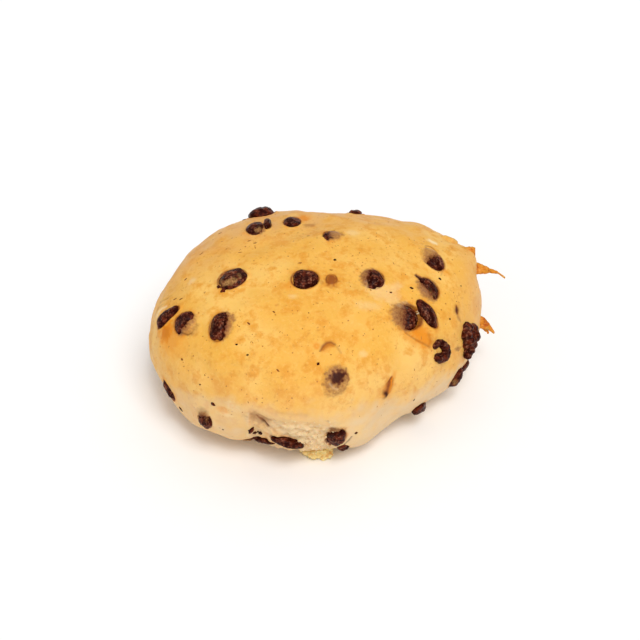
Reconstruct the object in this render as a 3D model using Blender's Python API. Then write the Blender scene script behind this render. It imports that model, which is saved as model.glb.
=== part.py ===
"""A chocolate chip bun: a soft dough body with chocolate chips, crust flakes and a crumb lip baked onto it.

Everything is one solid, because the chips are small and stuck fast in the dough. The bun stands on
its flat base with +Z up, its front towards -Y, and its origin on the base.
Sizes are in millimetres up to the last step, which turns them into metres.
"""

import math
import random

import bmesh
import bpy
from mathutils import Matrix, Vector, noise
from mathutils.bvhtree import BVHTree

METRES_PER_MM = 0.001

# The dough. The plan is a smooth closed curve through one radius every 30 degrees, from +X towards +Y.
PLAN_RADII = (47.0, 49.5, 42.8, 39.7, 44.8, 47.6, 51.9, 51.6, 48.4, 43.9, 39.8, 41.0)
BELT_HEIGHT = 22.0  # the widest level, above the base
CROWN_HEIGHT = 26.6  # top of the dome, above the belt
SHOULDER_HEIGHT = 25.4  # dome height that the outer part heads for, which flattens the top a little
CROWN_SPREAD = 3.0  # how fast the crown gives way to the shoulder
TUCK_DEPTH = 24.0  # how far below the belt the lower curve aims; the base cuts it at zero
SHOULDER_POWER = 0.9  # 1 is an ellipse, less is squarer
DOME_POWER = 0.95
TUCK_POWER = 0.5
FOOT_POWER = 0.8
DOUGH_SUBDIVISIONS = 5

# Slow waves and smaller dimples in the crust: (wave length, height).
CRUST_WAVES = ((28.0, 0.6), (11.0, 0.25))

# Swellings of the crust, and hollows where the height is below zero: the place right and up in the
# front view described next, the half width and the height.
SWELLINGS = (
    (45.0, 18.5, 6.5, 1.8),
    (-28.5, 26.0, 8.0, 1.0),
    (-46.5, 13.5, 8.0, -1.2),
    (-37.0, -31.5, 6.0, 1.4),
    (-20.5, -36.0, 5.0, -1.6),
    (12.0, -35.5, 5.0, 1.5),
    (21.5, -29.5, 4.5, -1.5),
    (42.9, 20.0, 4.5, 1.4),
    (48.9, 3.0, 6.0, -0.7),
)

# The viewpoint from which the front is laid out. A place on the front is given in millimetres right
# and up of VIEW_MIDDLE, in the plane through it that faces the viewpoint.
VIEW_MIDDLE = Vector((-1.0, 0.0, 22.0))
VIEW_RISE = math.radians(40.0)
VIEW_DISTANCE = 600.0
TO_VIEWER = Vector((0.0, -math.cos(VIEW_RISE), math.sin(VIEW_RISE)))
VIEW_UP = Vector((0.0, math.sin(VIEW_RISE), math.cos(VIEW_RISE)))
VIEW_RIGHT = Vector((1.0, 0.0, 0.0))
VIEW_EYE = VIEW_MIDDLE + TO_VIEWER * VIEW_DISTANCE
SEARCH_REACH, SEARCH_STEP = 60, 2  # how a spot past the edge is looked for, ahead of and behind the middle

# The torn patch low on the front, where the pale inside of the dough shows.
TEAR_LEFT, TEAR_RIGHT = -21.3, 6.0
TEAR_TOP, TEAR_SLOPE = -28.0, -0.12
TEAR_EDGE = 0.4  # half width of its steep left edge
TEAR_FADE = 3.0  # width of its soft top and right edges
TEAR_DEPTH = 0.9
TEAR_MARGIN = 2.0  # how far past the patch the mesh is finer
CRUMB_LENGTH, CRUMB_HEIGHT = 4.2, 0.5
GROOVE_FROM, GROOVE_TO = (-20.5, -28.6), (-8.0, -36.6)  # a crease that runs down across the tear
GROOVE_WIDTH, GROOVE_DEPTH = 1.3, 0.9

# Chips that show on the front: right, up, length and width as seen, turn of the length in degrees
# anticlockwise from the right, and the share of its half height by which a chip's middle is sunk.
FRONT_CHIPS = (
    (-17.5, 31.6, 7.5, 5.0, 15, 0.10),
    (-19.7, 27.5, 4.9, 3.9, 20, 0.45),
    (-15.8, 28.2, 3.2, 2.4, -90, -0.20),
    (-8.4, 29.2, 5.1, 3.3, 10, 0.35),
    (3.9, 25.2, 5.4, 3.3, 0, 0.65),
    (10.8, 31.9, 4.5, 3.0, 0, 0.20),
    (-26.4, 12.3, 8.6, 5.6, 25, 0.60),
    (-4.5, 12.2, 7.8, 5.7, 0, 0.40),
    (15.6, 12.3, 6.6, 5.4, -25, 0.55),
    (33.8, 18.2, 8.1, 5.1, -72, 0.55),
    (32.5, 9.4, 7.6, 5.0, -62, 0.60),
    (25.5, 0.9, 8.1, 7.4, 0, 0.60),
    (32.3, 1.8, 9.4, 4.0, -55, 0.35),
    (43.9, -13.9, 4.4, 2.6, 75, 0.10),
    (41.4, -17.7, 6.8, 3.3, 62, 0.10),
    (30.1, -27.8, 5.2, 4.0, 28, -0.30),
    (-45.3, -21.2, 6.8, 2.4, -62, 0.20),
    (-34.5, -30.1, 4.7, 4.1, 70, 0.50),
    (-17.8, -35.4, 7.2, 2.4, -4, 0.20),
    (-9.6, -36.6, 10.2, 3.6, -18, 0.10),
    (5.1, -35.4, 5.5, 5.1, -30, 0.40),
    (6.9, -38.0, 3.3, 2.2, 10, 0.20),
    (5.1, -18.0, 8.4, 7.0, 80, 0.70),
    (20.0, -21.0, 5.4, 1.8, 68, 0.70),
    (-45.8, 0.9, 8.4, 2.6, 15, 0.20),
    (-40.7, -0.9, 6.8, 5.6, 75, 0.60),
    (-29.8, -2.0, 8.3, 6.2, 85, 0.40),
)
CHIP_THICKNESS = 0.62  # of its length
CHIP_THINNEST, CHIP_THICKEST = 3.0, 4.4
CHIP_LUMPS = 0.10  # roughness of a chip, as a share of its radius
CHIP_SUBDIVISIONS = 2
LUMP_LENGTH = 1.2  # length of the lumps on a chip or lip, in its own radii
MOST_STRETCH = 1.8  # a chip seen edge on is never made longer than this many times what shows

# A chip that curled up as it melted, as lumps: (right, up, radius) of each.
CURLED_CHIP = (
    (34.3, -7.7, 1.2),
    (36.4, -6.9, 1.5),
    (38.0, -8.5, 1.6),
    (37.6, -10.5, 1.7),
    (35.7, -11.5, 1.7),
)
CURL_RISE = 0.25  # how far the middle of its lumps stands off the dough

# Chips that melted into one cluster near the right-hand edge: right, up, radius, and how far ahead of
# the cluster's anchor, towards the viewer, because the dough falls away steeply there.
CLUSTER = (
    (43.5, -2.3, 1.9, 0.6),
    (45.1, -2.7, 1.8, -1.4),
    (43.9, -4.6, 2.0, 2.2),
    (45.5, -4.9, 2.0, -0.8),
    (43.9, -7.0, 1.9, 1.0),
    (45.4, -7.2, 1.9, -1.6),
    (44.9, -8.6, 1.7, 2.2),
    (44.4, -9.8, 1.9, 0.2),
)
CLUSTER_ANCHOR = (44.0, -6.3)
CLUSTER_FOLLOWS = 0.3  # how much a lump follows the dough under it, and not the anchor, in its depth
CLUSTER_RISE = 2.4  # the furthest that a lump's middle stands off the dough

# Chips on the back and far sides, spread evenly by a rule in rows, where the front view can't see them.
FAR_SEED = 7
FAR_ROWS = ((10.0, 7), (22.0, 6), (33.0, 5))  # height above the base, how many places
FAR_FROM, FAR_TO = 0.0, 180.0  # bearings
FAR_SHARES = (0.25, 0.75)  # where a chip may lie in its own stretch of the row
FAR_SCATTER = 3.0  # of a place's height
FAR_LENGTHS = (5.6, 8.4)
FAR_WIDTHS = (0.6, 0.95)  # of the length
FAR_SUNK = (0.3, 0.6)

# Thin crust flakes on the right-hand edge: outlines in the same view, from and back to the root.
FLAKE_OUTLINES = (
    ((39.5, 23.6), (41.0, 24.6), (41.4, 24.0), (41.1, 22.9), (40.4, 21.0)),
    ((43.0, 21.4), (46.6, 21.6), (47.0, 19.4), (46.0, 18.9), (45.4, 17.2)),
    ((46.2, 18.2), (51.4, 15.6), (53.6, 14.6), (52.0, 14.3), (50.8, 14.0), (47.2, 13.7)),
    ((48.0, 1.9), (50.2, -0.4), (52.0, -3.4), (50.6, -1.9), (50.4, -3.8), (49.6, -2.6), (47.4, -2.2)),
)
FLAKE_THICKNESS = 0.9
FLAKE_ROOT = 2.4  # how far a flake reaches back into the dough

# The lip of crumb squeezed out at the foot of the front.
LIP_PLACE = (-1.2, -34.8, 1.3)
LIP_HALF_SIZES = (5.0, 2.8, 2.4)
LIP_LUMPS = 0.18
LIP_SUBDIVISIONS = 3

CRUST_COLOUR = (0.86, 0.45, 0.09, 1.0)
CRUST_ROUGHNESS = 0.55
CHOCOLATE_COLOUR = (0.05, 0.016, 0.011, 1.0)
CHOCOLATE_ROUGHNESS = 0.4
SHARP_ANGLE = math.radians(50.0)


def new_material(name, colour, roughness):
    material = bpy.data.materials.new(name)
    material.use_nodes = True
    shader = material.node_tree.nodes["Principled BSDF"]
    shader.inputs["Base Color"].default_value = colour
    shader.inputs["Roughness"].default_value = roughness
    shader.inputs["Metallic"].default_value = 0.0
    return material


def smooth_step(low, high, value):
    share = min(1.0, max(0.0, (value - low) / (high - low)))
    return share * share * (3.0 - 2.0 * share)


def waves(point, length):
    """Smooth noise from about -1 to 1 that rises and falls once in this length."""
    return 2.0 * noise.noise(point * 2.0 / length)


def plan_radius(bearing):
    """The plan: the smoothest wave that passes through all the plan radii."""
    count = len(PLAN_RADII)
    total = 0.0
    for order in range(count // 2 + 1):
        weight = 1.0 if order in (0, count // 2) else 2.0
        for number, radius in enumerate(PLAN_RADII):
            total += weight * radius * math.cos(order * (bearing - number * math.tau / count))
    return total / count


def dough_form(direction):
    """The point of the plain dough body that lies in this direction, a unit vector."""
    bearing = math.atan2(direction.y, direction.x)
    spread = math.hypot(direction.x, direction.y)
    rise = abs(direction.z)
    if direction.z >= 0.0:
        share = spread**SHOULDER_POWER
        inner = math.exp(-CROWN_SPREAD * share)
        dome = SHOULDER_HEIGHT + (CROWN_HEIGHT - SHOULDER_HEIGHT) * inner
        height = BELT_HEIGHT + dome * rise**DOME_POWER
    else:
        share = spread**TUCK_POWER
        height = max(0.0, BELT_HEIGHT - TUCK_DEPTH * rise**FOOT_POWER)
    reach = plan_radius(bearing) * share
    return Vector((reach * math.cos(bearing), reach * math.sin(bearing), height))


def place_in_view(point):
    """Millimetres right and up at which this point shows in the front view."""
    away = point - VIEW_EYE
    scale = -VIEW_DISTANCE / away.dot(TO_VIEWER)
    return away.dot(VIEW_RIGHT) * scale, away.dot(VIEW_UP) * scale


def distance_to_groove(right, up):
    start, end, spot = Vector(GROOVE_FROM), Vector(GROOVE_TO), Vector((right, up))
    run = end - start
    share = max(0.0, min(1.0, (spot - start).dot(run) / run.length_squared))
    return (spot - start - run * share).length


def tear_share(right, up):
    """1 well inside the torn patch, 0 outside it."""
    top = TEAR_TOP + TEAR_SLOPE * (right - TEAR_LEFT)
    left_side = smooth_step(TEAR_LEFT - TEAR_EDGE, TEAR_LEFT + TEAR_EDGE, right)
    right_side = 1.0 - smooth_step(TEAR_RIGHT - TEAR_FADE, TEAR_RIGHT, right)
    return left_side * right_side * smooth_step(0.0, TEAR_FADE, top - up)


def near_tear(point):
    right, up = place_in_view(point)
    inside = TEAR_LEFT - TEAR_MARGIN < right < TEAR_RIGHT and up < TEAR_TOP + TEAR_MARGIN
    return inside and point.y < 0.0 and 0.0 < point.z < BELT_HEIGHT


def relief(point):
    """How far the crust stands out from the plain form at this point."""
    height = sum(size * waves(point, length) for length, size in CRUST_WAVES)
    right, up = place_in_view(point)
    for middle_right, middle_up, spread, size in SWELLINGS:
        away = math.hypot(right - middle_right, up - middle_up)
        height += size * math.exp(-((away / spread) ** 2))
    if point.y < 0.0:
        height += tear_share(right, up) * (CRUMB_HEIGHT * waves(point, CRUMB_LENGTH) - TEAR_DEPTH)
        height -= GROOVE_DEPTH * math.exp(-((distance_to_groove(right, up) / GROOVE_WIDTH) ** 2))
    return height


def make_dough():
    """The dough body: a ball pulled onto the bun's form, with a finer mesh where the crust is torn."""
    mesh = bmesh.new()
    bmesh.ops.create_icosphere(mesh, subdivisions=DOUGH_SUBDIVISIONS, radius=1.0)
    middles = {edge: (edge.verts[0].co + edge.verts[1].co).normalized() for edge in mesh.edges}
    torn = [edge for edge, middle in middles.items() if near_tear(dough_form(middle))]
    bmesh.ops.subdivide_edges(mesh, edges=torn, cuts=1)
    middle = Vector((0.0, 0.0, BELT_HEIGHT))
    for vertex in mesh.verts:
        point = dough_form(vertex.co.normalized())
        if point.z > 0.0:
            point += (point - middle).normalized() * relief(point)
            point.z = max(0.0, point.z)
        vertex.co = point
    base = [face for face in mesh.faces if all(vertex.co.z == 0.0 for vertex in face.verts)]
    bmesh.ops.dissolve_faces(mesh, faces=base)
    bmesh.ops.triangulate(mesh, faces=mesh.faces)
    bmesh.ops.recalc_face_normals(mesh, faces=mesh.faces)
    return mesh


def spot_on(surface, right, up):
    """Place and outward normal of the dough at this spot of the view, or nearest to it past the edge."""
    along = (VIEW_MIDDLE + VIEW_RIGHT * right + VIEW_UP * up - VIEW_EYE).normalized()
    place, normal, _, _ = surface.ray_cast(VIEW_EYE, along)
    if place is None:
        reaches = range(-SEARCH_REACH, SEARCH_REACH + 1, SEARCH_STEP)
        steps = [VIEW_EYE + along * (VIEW_DISTANCE + reach) for reach in reaches]
        place, normal, _, _ = min(map(surface.find_nearest, steps), key=lambda found: found[3])
    return place, normal


def frame_on(place, normal, turn):
    """A frame at this place: Z outwards, and X along the turned direction in the view, laid on the dough."""
    wanted = VIEW_RIGHT * math.cos(turn) + VIEW_UP * math.sin(turn)
    along = (wanted - normal * wanted.dot(normal)).normalized()
    frame = Matrix((along, normal.cross(along), normal)).transposed().to_4x4()
    frame.translation = place
    return frame


def stretch_to_show(axis):
    """How many times longer a thing along this axis is than it shows in the view."""
    shown = math.sqrt(max(0.0, 1.0 - axis.dot(TO_VIEWER) ** 2))
    return 1.0 / max(shown, 1.0 / MOST_STRETCH)


def lumpy_ball(half_sizes, lumps, seed, subdivisions=CHIP_SUBDIVISIONS):
    """A rounded lump with an uneven skin."""
    mesh = bmesh.new()
    bmesh.ops.create_icosphere(mesh, subdivisions=subdivisions, radius=1.0)
    for vertex in mesh.verts:
        swell = 1.0 + lumps * waves(vertex.co + Vector((seed, 0.0, 0.0)), LUMP_LENGTH)
        vertex.co = Vector(half * swell * value for half, value in zip(half_sizes, vertex.co))
    return mesh


def add_object(mesh, name, materials, collection):
    """Turns a bmesh into an object of this collection."""
    data = bpy.data.meshes.new(name)
    mesh.to_mesh(data)
    mesh.free()
    for material in materials:
        data.materials.append(material)
    made = bpy.data.objects.new(name, data)
    collection.objects.link(made)
    return made


def add_chip(name, frame, half_sizes, sunk, seed, material, collection):
    """One chip, pressed into the dough by this share of its half height."""
    mesh = lumpy_ball(half_sizes, CHIP_LUMPS, seed)
    bmesh.ops.translate(mesh, verts=mesh.verts, vec=Vector((0.0, 0.0, -sunk * half_sizes[2])))
    bmesh.ops.transform(mesh, matrix=frame, verts=mesh.verts)
    add_object(mesh, name, [material], collection)


def chip_thickness(length):
    return min(CHIP_THICKEST, max(CHIP_THINNEST, CHIP_THICKNESS * length))


def add_front_chips(surface, material, collection):
    for number, (right, up, length, width, turn, sunk) in enumerate(FRONT_CHIPS):
        frame = frame_on(*spot_on(surface, right, up), math.radians(turn))
        halves = (
            length / 2.0 * stretch_to_show(frame.col[0].to_3d()),
            width / 2.0 * stretch_to_show(frame.col[1].to_3d()),
            chip_thickness(length) / 2.0,
        )
        add_chip(f"front_chip_{number}", frame, halves, sunk, number, material, collection)


def add_curled_chip(surface, material, collection):
    for number, (right, up, radius) in enumerate(CURLED_CHIP):
        place, normal = spot_on(surface, right, up)
        frame = Matrix.Translation(place + normal * CURL_RISE)
        add_chip(f"curled_chip_{number}", frame, (radius, radius, radius), 0.0, number, material, collection)


def nearer_than_middle(place):
    return (place - VIEW_MIDDLE).dot(TO_VIEWER)


def place_at(right, up, nearer):
    """The place that shows at this spot of the view, this far ahead of its middle."""
    across = VIEW_RIGHT * right + VIEW_UP * up
    return VIEW_MIDDLE + across * (1.0 - nearer / VIEW_DISTANCE) + TO_VIEWER * nearer


def add_cluster(surface, material, collection):
    """The melted cluster: lumps side by side, each held within reach of the dough."""
    anchor = nearer_than_middle(spot_on(surface, *CLUSTER_ANCHOR)[0])
    for number, (right, up, radius, ahead) in enumerate(CLUSTER):
        own = nearer_than_middle(spot_on(surface, right, up)[0])
        wanted = place_at(right, up, anchor + (own - anchor) * CLUSTER_FOLLOWS + ahead)
        place, normal, _, _ = surface.find_nearest(wanted)
        height = max(0.0, min(CLUSTER_RISE, (wanted - place).dot(normal)))
        frame = Matrix.Translation(place + normal * height)
        add_chip(f"cluster_{number}", frame, (radius, radius, radius), 0.0, number, material, collection)


def hidden_from_front(surface, place, normal, size):
    """Whether a chip of this size here is behind the bun, seen from the front."""
    top = place + normal * size / 2.0
    seen, _, _, distance = surface.ray_cast(VIEW_EYE, (top - VIEW_EYE).normalized())
    return seen is not None and distance < (top - VIEW_EYE).length - size


def add_far_chips(surface, material, collection):
    draw = random.Random(FAR_SEED)
    for row, (height, count) in enumerate(FAR_ROWS):
        for number in range(count):
            share = (number + draw.uniform(*FAR_SHARES)) / count
            bearing = math.radians(FAR_FROM + (FAR_TO - FAR_FROM) * share)
            level = height + draw.uniform(-FAR_SCATTER, FAR_SCATTER)
            turn = draw.uniform(0.0, math.pi)
            length = draw.uniform(*FAR_LENGTHS)
            width = length * draw.uniform(*FAR_WIDTHS)
            sunk = draw.uniform(*FAR_SUNK)
            outwards = Vector((math.cos(bearing), math.sin(bearing), 0.0))
            start = outwards * VIEW_DISTANCE + Vector((0.0, 0.0, level))
            place, normal, _, _ = surface.ray_cast(start, -outwards)
            if hidden_from_front(surface, place, normal, length):
                frame = frame_on(place, normal, turn)
                halves = (length / 2.0, width / 2.0, chip_thickness(length) / 2.0)
                name = f"far_chip_{row}_{number}"
                add_chip(name, frame, halves, sunk, count + number, material, collection)


def add_flakes(surface, material, collection):
    """Thin flakes of crust that grow out of the right-hand edge, facing the front view."""
    for number, outline in enumerate(FLAKE_OUTLINES):
        # As deep as its furthest corner, so that the root lies behind the edge and not on the front.
        nearer = min(nearer_than_middle(spot_on(surface, *corner)[0]) for corner in outline)
        scale = (VIEW_DISTANCE - nearer) / VIEW_DISTANCE
        corners = [Vector(corner) for corner in outline]
        for end in (corners[0], corners[-1]):
            end.x -= FLAKE_ROOT
        back = VIEW_MIDDLE + TO_VIEWER * (nearer - FLAKE_THICKNESS / 2.0)
        mesh = bmesh.new()
        ring = [mesh.verts.new(back + (VIEW_RIGHT * at.x + VIEW_UP * at.y) * scale) for at in corners]
        sheet = mesh.faces.new(ring)
        raised = bmesh.ops.extrude_face_region(mesh, geom=[sheet])["geom"]
        front = [part for part in raised if isinstance(part, bmesh.types.BMVert)]
        bmesh.ops.translate(mesh, verts=front, vec=TO_VIEWER * FLAKE_THICKNESS)
        bmesh.ops.triangulate(mesh, faces=mesh.faces)
        bmesh.ops.recalc_face_normals(mesh, faces=mesh.faces)
        add_object(mesh, f"flake_{number}", [material], collection)


def add_lip(material, collection):
    """The lip of crumb at the foot of the front, flat underneath like the base."""
    mesh = lumpy_ball(LIP_HALF_SIZES, LIP_LUMPS, 0, LIP_SUBDIVISIONS)
    bmesh.ops.translate(mesh, verts=mesh.verts, vec=Vector(LIP_PLACE))
    everything = mesh.verts[:] + mesh.edges[:] + mesh.faces[:]
    cut = bmesh.ops.bisect_plane(mesh, geom=everything, plane_no=(0.0, 0.0, -1.0), clear_outer=True)
    rim = [part for part in cut["geom_cut"] if isinstance(part, bmesh.types.BMEdge)]
    bmesh.ops.holes_fill(mesh, edges=rim)
    bmesh.ops.triangulate(mesh, faces=mesh.faces)
    bmesh.ops.recalc_face_normals(mesh, faces=mesh.faces)
    add_object(mesh, "lip", [material], collection)


def fuse(body, collection):
    """Joins everything in the collection to the body, and removes the loose pieces."""
    union = body.modifiers.new("fuse", "BOOLEAN")
    union.operation = "UNION"
    union.operand_type = "COLLECTION"
    union.collection = collection
    bpy.context.view_layer.update()
    evaluated = body.evaluated_get(bpy.context.evaluated_depsgraph_get())
    fused = bpy.data.meshes.new_from_object(evaluated)
    body.modifiers.clear()
    body.data = fused
    for piece in list(collection.objects):
        bpy.data.objects.remove(piece)
    bpy.data.collections.remove(collection)


def main():
    for old in list(bpy.data.objects):
        bpy.data.objects.remove(old)
    crust = new_material("crust", CRUST_COLOUR, CRUST_ROUGHNESS)
    chocolate = new_material("chocolate", CHOCOLATE_COLOUR, CHOCOLATE_ROUGHNESS)

    dough = make_dough()
    surface = BVHTree.FromBMesh(dough)
    bun = add_object(dough, "bun", [crust, chocolate], bpy.context.scene.collection)

    baked_on = bpy.data.collections.new("baked_on")
    bpy.context.scene.collection.children.link(baked_on)
    add_front_chips(surface, chocolate, baked_on)
    add_curled_chip(surface, chocolate, baked_on)
    add_cluster(surface, chocolate, baked_on)
    add_far_chips(surface, chocolate, baked_on)
    add_flakes(surface, crust, baked_on)
    add_lip(crust, baked_on)
    fuse(bun, baked_on)

    bun.data.transform(Matrix.Scale(METRES_PER_MM, 4))
    bun.data.shade_smooth()
    bun.data.set_sharp_from_angle(angle=SHARP_ANGLE)


main()
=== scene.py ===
import math
import random

import bmesh
import bpy
import numpy as np
from mathutils import Matrix, Vector, noise
from mathutils.bvhtree import BVHTree


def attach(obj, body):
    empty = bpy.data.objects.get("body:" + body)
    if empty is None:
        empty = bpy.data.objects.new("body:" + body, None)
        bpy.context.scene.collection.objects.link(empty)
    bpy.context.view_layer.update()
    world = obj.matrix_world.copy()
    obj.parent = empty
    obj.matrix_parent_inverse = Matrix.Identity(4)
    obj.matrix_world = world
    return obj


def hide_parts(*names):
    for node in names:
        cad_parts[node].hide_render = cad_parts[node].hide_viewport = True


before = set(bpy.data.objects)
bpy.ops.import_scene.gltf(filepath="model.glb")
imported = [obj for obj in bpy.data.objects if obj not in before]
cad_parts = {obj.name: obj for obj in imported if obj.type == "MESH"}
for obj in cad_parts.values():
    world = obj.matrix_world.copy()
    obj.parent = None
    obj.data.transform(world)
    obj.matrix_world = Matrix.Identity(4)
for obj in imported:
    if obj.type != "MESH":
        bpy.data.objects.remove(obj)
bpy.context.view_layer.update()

mm = 0.001  # sizes below are in millimetres, and finished meshes are scaled by this

# where the front is looked at from: places on it are given as millimetres right and up of the middle
view = {
    "middle": (-1.0, 0.0, 22.0),
    "rise": 40.0,
    "distance": 600.0,
    "lens": 112.5,
    "nearest": 0.01,
    "pastEdge": (-60, 61, 2),  # steps along a line of sight that misses, to find the dough's nearest place
}
rise = math.radians(view["rise"])
viewMiddle = Vector(view["middle"])
toViewer = Vector((0.0, -math.cos(rise), math.sin(rise)))
viewUp = Vector((0.0, math.sin(rise), math.cos(rise)))
viewRight = Vector((1.0, 0.0, 0.0))
viewEye = viewMiddle + toViewer * view["distance"]


def addObject(name, data):
    made = bpy.data.objects.new(name, data)
    bpy.context.scene.collection.objects.link(made)
    return made


def lookFrom(item, back):  # turns a camera or lamp so that it looks from this side
    item.rotation_euler = (-back).to_track_quat("-Z", "Y").to_euler()


def makeCamera():
    camera = addObject("camera", bpy.data.cameras.new("camera"))
    camera.data.lens = view["lens"]
    camera.data.clip_start = view["nearest"]
    camera.location = viewEye * mm
    lookFrom(camera, toViewer)
    bpy.context.scene.camera = camera


makeCamera()
print("camera set")


# small helpers
def smoothStep(low, high, value):
    share = np.clip((value - low) / (high - low), 0.0, 1.0)
    return share * share * (3.0 - 2.0 * share)


def bell(value):  # 1 at nought, fading to both sides
    return np.exp(-(value**2))


def wavesAt(points, length, shift=0.0):  # smooth noise, about -1 to 1, one wave in this length
    step = 2.0 / length
    read = noise.noise
    return 2.0 * np.array([read((x * step + shift, y * step, z * step)) for x, y, z in points.tolist()])


def wavesOf(points, waves):  # length and height of each
    return sum(height * wavesAt(points, length) for length, height in waves)


def placeInView(points):
    away = points - np.array(viewEye)
    scale = -view["distance"] / (away @ np.array(toViewer))
    return away @ np.array(viewRight) * scale, away @ np.array(viewUp) * scale


def pointsOf(mesh):
    return np.array([vertex.co for vertex in mesh.verts])


def normalsOf(mesh):
    mesh.normal_update()
    return np.array([vertex.normal for vertex in mesh.verts])


def movePoints(mesh, points):
    for vertex, point in zip(mesh.verts, points.tolist()):
        vertex.co = point


def newBall(fineness):
    mesh = bmesh.new()
    bmesh.ops.create_icosphere(mesh, subdivisions=fineness, radius=1.0)
    return mesh


def asData(mesh, name="spare"):
    data = bpy.data.meshes.new(name)
    mesh.to_mesh(data)
    mesh.free()
    return data


def addTo(whole, mesh):
    data = asData(mesh)
    whole.from_mesh(data)
    bpy.data.meshes.remove(data)


def layOn(layer, near, amount):
    layer[near] = np.maximum(layer[near], amount)


def finishPiece(mesh, name, material, attributes=None):
    mesh.normal_update()
    data = asData(mesh, name)
    for label, values in (attributes or {}).items():
        layer = data.attributes.new(label, "FLOAT", "POINT")
        layer.data.foreach_set("value", np.asarray(values, dtype=np.float32))
    data.transform(Matrix.Scale(mm, 4))
    data.materials.append(material)
    data.shade_smooth()
    piece = addObject(name, data)
    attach(piece, "root")
    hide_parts("bun")
    print(name, len(data.polygons), "faces")


# material helpers
def shade(*screenColour):  # red, green and blue, 0 to 255, as the shader wants them
    parts = [value / 255.0 for value in screenColour]
    light = [part / 12.92 if part < 0.04045 else ((part + 0.055) / 1.055) ** 2.4 for part in parts]
    return (*light, 1.0)


def plug(tree, socket, value):
    if isinstance(value, bpy.types.NodeSocket):
        tree.links.new(value, socket)
    else:
        socket.default_value = value


def addNode(tree, kind, inputs, **settings):
    made = tree.nodes.new("ShaderNode" + kind)
    for name, value in settings.items():
        setattr(made, name, value)
    for name, value in inputs.items():
        plug(tree, made.inputs[name], value)
    return made


def mixColour(tree, factor, under, over):
    return addNode(tree, "Mix", {0: factor, 6: under, 7: over}, data_type="RGBA").outputs[2]


def calculate(tree, way, first, second):
    return addNode(tree, "Math", {0: first, 1: second}, operation=way).outputs[0]


def spread(tree, value, low, high, newLow=0.0, newHigh=1.0):
    inputs = {"Value": value, "From Min": low, "From Max": high, "To Min": newLow, "To Max": newHigh}
    return addNode(tree, "MapRange", inputs, interpolation_type="SMOOTHSTEP").outputs[0]


def grain(tree, where, size, detail=2.0, roughness=0.5, distortion=0.0):  # noise with blots of this size
    shape = {"Detail": detail, "Roughness": roughness, "Distortion": distortion}
    return addNode(tree, "TexNoise", {"Vector": where, "Scale": 1.0 / size, **shape}).outputs["Fac"]


def painted(tree, name):
    return addNode(tree, "Attribute", {}, attribute_name=name).outputs["Fac"]


def paintOver(tree, colour, look, *names):  # each attribute lays on the colour of its own name
    for name in names:
        colour = mixColour(tree, painted(tree, name), colour, look[name])
    return colour


def startMaterial(name, look):
    material = bpy.data.materials.new(name)
    material.use_nodes = True
    tree = material.node_tree
    spot = addNode(tree, "TexCoord", {}).outputs["Object"]
    where = addNode(tree, "Mapping", {"Vector": spot, "Scale": (1 / mm, 1 / mm, 1 / mm)}).outputs["Vector"]
    grains = {label: grain(tree, where, *values) for label, values in look["grains"].items()}
    return material, tree, where, grains


def finishMaterial(tree, look, grains, **varied):  # varied: what changes over the surface
    shader = tree.nodes["Principled BSDF"]
    for name, value in look["shader"].items():
        plug(tree, shader.inputs[name], value)
    for name, value in varied.items():
        plug(tree, shader.inputs[name.replace("_", " ")], value)
    target = shader.inputs["Normal"]
    for name, height in look["bumps"].items():
        made = addNode(tree, "Bump", {"Height": grains[name], "Distance": height * mm, "Strength": 1.0})
        tree.links.new(made.outputs["Normal"], target)
        target = made.inputs["Normal"]


# crust; in each look the grains give size, detail and roughness, and the bumps run from broad to fine
crustLook = {
    "gold": shade(241, 180, 76),
    "light": shade(248, 197, 104),
    "deep": shade(232, 158, 52),
    "toast": shade(212, 138, 50),
    # darker, greyer tone: painted shade and sheen where the crust turns away at the back and right rim
    "tanEdgeShade": shade(228, 172, 110),
    "pale": shade(234, 201, 154),
    "crumb": shade(240, 208, 160),
    "crumbDeep": shade(222, 176, 118),
    "stain": shade(232, 138, 16),
    # browning, and painted shade in some lines and patches
    "scorchAndShade": shade(128, 54, 14),
    "fleck": shade(176, 96, 34),
    # pale spots, and painted highlights on bulges and lifted rims
    "paleAndHighlight": shade(252, 228, 180),
    "film": shade(166, 112, 62),
    "filmDeep": shade(104, 44, 20),
    # chocolate showing darkest through the dough, and a painted shadow line
    "sootAndShadow": shade(52, 12, 4),
    "filmSteps": (("film", 0.0, 0.42, 0.9), ("filmDeep", 0.36, 0.8, 1.0), ("sootAndShadow", 0.72, 1.0, 1.0)),
    "fleckCells": 0.7,
    "roughness": (0.40, 0.60),
    "crumbRoughness": 0.85,
    "grains": {
        "broad": (16.0, 3.0),
        "patches": (9.0, 2.0),
        "middle": (4.0, 4.0, 0.6),
        "crumb": (1.6, 3.0),
        "spots": (1.2, 4.0, 0.7),
        "fine": (0.9, 3.0, 0.6),
        "film": (0.6, 3.0, 0.6),
        "pores": (0.35, 2.0, 0.6),
    },
    "bumps": {"middle": 0.12, "fine": 0.10, "pores": 0.05},
    "shader": {
        "Specular IOR Level": 0.18,
        "Subsurface Weight": 0.12,
        "Subsurface Radius": (1.0, 0.45, 0.15),
        "Subsurface Scale": 0.0012,
    },
}


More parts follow.
